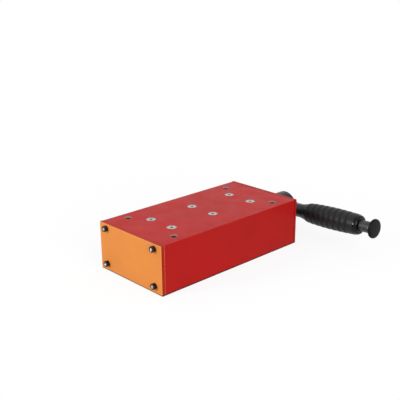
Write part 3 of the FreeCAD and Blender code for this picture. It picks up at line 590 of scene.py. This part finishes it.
def on_lever(name, node, body, material, outline_mm, ring_shaped, swell=0.0, sharp_degrees=35.0):
    """A surface turned about the lever's axis from (station, radius) points. A ring-shaped piece
    has a closed outline, a solid one starts and ends on the axis. The swell is added to out, and
    may change with the angle."""
    along, out = np.array(outline_mm, float).T / 1000
    points = turned(along, out[:, None] + swell, lever_origin, lever_axis, lever_side, lever_columns)
    mesh = grid_mesh(name, points, closed_rows=ring_shaped, closed_columns=True)
    return dressed(name, node, body, material, [mesh], sharp_degrees)


tube_oxide = black_oxide("black_oxide_tube", "#26272A", "#434446", 5.0, (0.22, 0.34))
on_lever("lever_tube_drawn", "lever_tube", "lever", tube_oxide,
         soft_corners(tube_outline_mm, 0.2)[:-1], True)


# Grip: a rubber sleeve moulded on the tube, barrel shaped, with a flared
# start, seven rounded ribs and a plain band. Its grooves are painted darker
# than the ribs, as painted shade, and are rougher.
grip_start, grip_end = 40.0, 122.0
rib_start, rib_pitch, rib_count = 53.0, 8.4, 7
grip_start_radius = 9.7
belly_radius, belly_station, belly_drop, belly_reach = 14.05, 86.0, 1.1, 33.0
groove_depth, groove_half_width = 0.62, 1.7
rib_margin = 2.0
seam_height, seam_width = 0.00006, 0.02
pebble_mm = 0.5
bloom_mm = 18.0


def grip_radius(station):
    """The grip's radius: a parabola over the barrel, which a raised cosine brings down over the
    flare, less a bell-shaped groove at the start of each rib."""
    barrel = belly_radius - belly_drop * ((station - belly_station) / belly_reach) ** 2
    share = np.clip((station - grip_start) / (rib_start - grip_start), 0, 1)
    flare = grip_start_radius + (barrel - grip_start_radius) * (0.5 - 0.5 * np.cos(math.pi * share ** 0.85))
    nearest = np.clip(np.round((station - rib_start) / rib_pitch), 0, rib_count)
    away = (station - rib_start - nearest * rib_pitch) / groove_half_width
    return np.where(station < rib_start, flare, barrel) - groove_depth * np.exp(-1.6 * away ** 2)


moulded_rubber, place = new_finish("moulded_satin_rubber")
from_hub = add(moulded_rubber, "VectorMath", {0: place, 1: lever_origin}, operation="SUBTRACT")
station = add(moulded_rubber, "VectorMath", {0: from_hub, 1: lever_axis}, operation="DOT_PRODUCT")
from_first = add(moulded_rubber, "Math", {0: station, 1: rib_start / 1000}, operation="SUBTRACT")
from_groove = add(moulded_rubber, "Math", {0: from_first, 1: rib_pitch / 2000}, operation="PINGPONG")
# The grooves get a darker colour than the ribs: painted shade.
rib_clear_of_groove_shade = add(moulded_rubber, "MapRange", {
    "Value": from_groove, "From Min": 0.0002, "From Max": 0.0026, "To Min": 0.0, "To Max": 1.0})
ribbed_length = rib_count * rib_pitch
on_ribs = add(moulded_rubber, "Math", {
    0: station, 1: (rib_start + ribbed_length / 2) / 1000,
    2: (ribbed_length / 2 + rib_margin) / 1000}, operation="COMPARE")
off_ribs = add(moulded_rubber, "Math", {0: 1.0, 1: on_ribs}, operation="SUBTRACT")
painted_light_mask = add(moulded_rubber, "Math", {0: rib_clear_of_groove_shade, 1: off_ribs}, operation="MAXIMUM")
bloom = add(moulded_rubber, "TexNoise", {"Vector": place, "Scale": 1000 / bloom_mm, "Detail": 4.0})
satin = add(moulded_rubber, "Mix", {
    "Factor": bloom.outputs[0], "A": linear("#201D1A"), "B": linear("#202428")}, data_type="RGBA")
rubber_black = add(moulded_rubber, "Mix", {
    "Factor": painted_light_mask, "A": linear("#171514"), "B": satin}, data_type="RGBA")
dullness = add(moulded_rubber, "MapRange", {"Value": painted_light_mask, "To Min": 0.6, "To Max": 0.38})
pebble = add(moulded_rubber, "TexNoise", {"Vector": place, "Scale": 1000 / pebble_mm, "Detail": 3.0})
relief = add(moulded_rubber, "Bump", {"Strength": 0.22, "Distance": 0.00005, "Height": pebble.outputs[0]})
shader = add(moulded_rubber, "BsdfPrincipled", {
    "Base Color": rubber_black, "Roughness": dullness, "Specular IOR Level": 0.2, "Normal": relief})
add(moulded_rubber, "OutputMaterial", {"Surface": shader})

stations = np.linspace(grip_start + 0.4, grip_end - 1.2, 520)
skin = np.stack([stations, grip_radius(stations)], axis=1)
start_edge = soft_corners([(grip_start, tube_radius), (grip_start, skin[0, 1] - 0.1), tuple(skin[0])], 0.4)
end_edge = soft_corners([tuple(skin[-1]), (grip_end, skin[-1, 1] - 0.05), (grip_end, tube_radius)], 1.1)
grip_outline = np.vstack([start_edge[:-1], skin, end_edge[1:]])
angle = np.linspace(0, 2 * math.pi, lever_columns, endpoint=False)
on_skin = grip_outline[:, 1:] > tube_radius + 0.1
moulding_seam = on_skin * seam_height * np.exp(-(np.sin(angle) / seam_width) ** 2)
on_lever("moulded_grip", "grip", "lever", moulded_rubber, grip_outline, True,
         moulding_seam, 50.0)


# End collar: a black acetal bush, turned with a short taper and a round nose
# and then polished. It closes the grip and guides the plunger.
taper_end, collar_end = 123.5, 127.2
taper_start_radius, taper_end_radius, collar_nose_radius = 12.3, 12.15, 8.9
wipe_mm = 4.0

polished_acetal, place = new_finish("polished_black_acetal")
wipe = add(polished_acetal, "TexNoise", {"Vector": place, "Scale": 1000 / wipe_mm, "Detail": 5.0})
polish = add(polished_acetal, "MapRange", {
    "Value": wipe, "From Min": noise_low, "From Max": noise_high, "To Min": 0.08, "To Max": 0.14})
shader = add(polished_acetal, "BsdfPrincipled", {
    "Base Color": linear("#050505"), "Roughness": polish, "Specular IOR Level": 0.2})
add(polished_acetal, "OutputMaterial", {"Surface": shader})


def quarter_round(first, last, steps):
    """A quarter of an ellipse between two (along, out) points: it leaves the first along the
    axis and meets the last square to it, with sin a of the way along and cos a of the way out."""
    turn = np.linspace(0, math.pi / 2, steps)
    return np.stack([first[0] + (last[0] - first[0]) * np.sin(turn),
                     last[1] + (first[1] - last[1]) * np.cos(turn)], axis=1)


nose = quarter_round((taper_end, taper_end_radius), (collar_end, collar_nose_radius), 24)
collar_outline = np.vstack([
    [(112.0, 7.05), (112.0, 7.95), (grip_end, 7.95), (grip_end, taper_start_radius)],
    nose, [(collar_end, 7.05)]])
on_lever("grip_end_collar", "grip_collar", "lever", polished_acetal, collar_outline, True)


# Plunger rod: ground and blackened bar that slides through the lever, with
# the lock pin at its inner end and the button at its outer end, where a narrow
# ring of it is painted bright: bare steel and a painted highlight.
neck_radius = 7.0
stud_radius, stud_end = 3.0, 145.6
knob_back = 143.0
bright_ring_start = 140.9
ring_brightness = 0.7
rod_outline_mm = [
    (31.6, 0), (31.6, 1.6), (37.6, 1.6), (37.6, 2.5), (103.6, 2.5), (103.6, 6.5), (104.1, neck_radius),
    (106.0, neck_radius), (106.0, 6.16), (107.2, 6.16), (107.2, neck_radius),
    (bright_ring_start - 0.1, neck_radius), (bright_ring_start, neck_radius),
    (knob_back, neck_radius), (knob_back, stud_radius), (stud_end, stud_radius), (stud_end, 0)]
rod_oxide = black_oxide("black_oxide_rod", "#3C3C3B", "#4A4A48", 2.0, (0.30, 0.40))
rod = on_lever("plunger_rod_ground", "plunger_rod", "plunger", rod_oxide,
               soft_corners(rod_outline_mm, 0.2), False)
places = np.empty((len(rod.data.vertices), 3))
rod.data.vertices.foreach_get("co", places.ravel())
along = (places - np.array(lever_origin)) @ np.array(lever_axis)
# The ring is painted bright: bare steel and a painted highlight.
brightness = ring_brightness * (along > (bright_ring_start - 0.05) / 1000)
painted_light_mask = rod.data.attributes.new("bare_and_highlight", "FLOAT", "POINT")
painted_light_mask.data.foreach_set("value", brightness)


# Button: moulded phenolic screwed on the rod, a thick disc with a rounded rim
# and a slightly domed face, dull black.
knob_radius, knob_thickness, knob_rim, knob_dome = 11.9, 4.8, 2.3, 0.5
knob_front = knob_back + knob_thickness
phenolic_grain_mm = 0.9

moulded_phenolic, place = new_finish("moulded_phenolic")
grain = add(moulded_phenolic, "TexNoise", {"Vector": place, "Scale": 1000 / phenolic_grain_mm, "Detail": 3.0})
black = add(moulded_phenolic, "Mix", {
    "Factor": grain.outputs[0], "A": linear("#0C0C0D"), "B": linear("#161618")}, data_type="RGBA")
relief = add(moulded_phenolic, "Bump", {"Strength": 0.2, "Distance": 0.00005, "Height": grain.outputs[0]})
shader = add(moulded_phenolic, "BsdfPrincipled", {
    "Base Color": black, "Roughness": 0.45, "Specular IOR Level": 0.1, "Normal": relief})
add(moulded_phenolic, "OutputMaterial", {"Surface": shader})

turn = np.linspace(0, math.pi / 2, 9)
rise, fall = knob_rim * (1 - np.cos(turn)), knob_rim * (1 - np.sin(turn))
back_rim = np.stack([knob_back + rise, knob_radius - fall], axis=1)
front_rim = np.stack([knob_front - fall, knob_radius - rise], axis=1)
share = np.linspace(1, 0, 16)
crown = np.stack([knob_front + knob_dome * (1 - share ** 2), (knob_radius - knob_rim) * share], axis=1)
stud = [(stud_end, 0), (stud_end, stud_radius), (knob_back, stud_radius)]
knob_outline = np.vstack([stud, back_rim, front_rim, crown[1:]])
on_lever("plunger_button", "plunger_knob", "plunger", moulded_phenolic, knob_outline, False)
